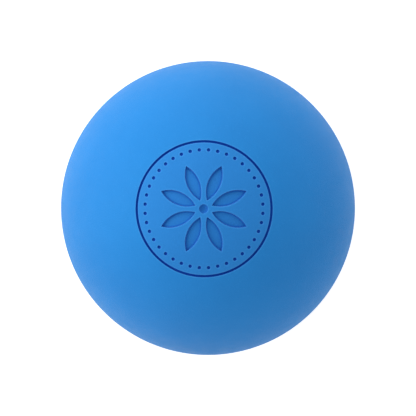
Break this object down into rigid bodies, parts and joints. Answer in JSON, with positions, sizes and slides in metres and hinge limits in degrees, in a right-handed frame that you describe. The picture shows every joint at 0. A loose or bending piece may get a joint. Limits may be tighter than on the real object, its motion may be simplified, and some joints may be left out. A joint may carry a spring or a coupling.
{
  "type": "lacrosse ball",
  "caption": "Solid rubber lacrosse ball: a dense core inside bonded half covers, with a debossed roundel on top, for passing, shooting and pressing on tight muscles.",
  "frame": {"origin": "centre of the ball", "axes": "+Z runs out through the middle of the debossed roundel, which is the way the mould opens. The mould's parting plane is the XY plane. X and Y are alike."},
  "size_m": [0.063, 0.063, 0.063],
  "materials": {
    "cover_rubber": "matte",
    "core_rubber": "matte"
  },
  "bodies": {
    "root": {"rubber_core": "core_rubber", "upper_cover": "cover_rubber", "lower_cover": "cover_rubber"}
  },
  "joints": []
}
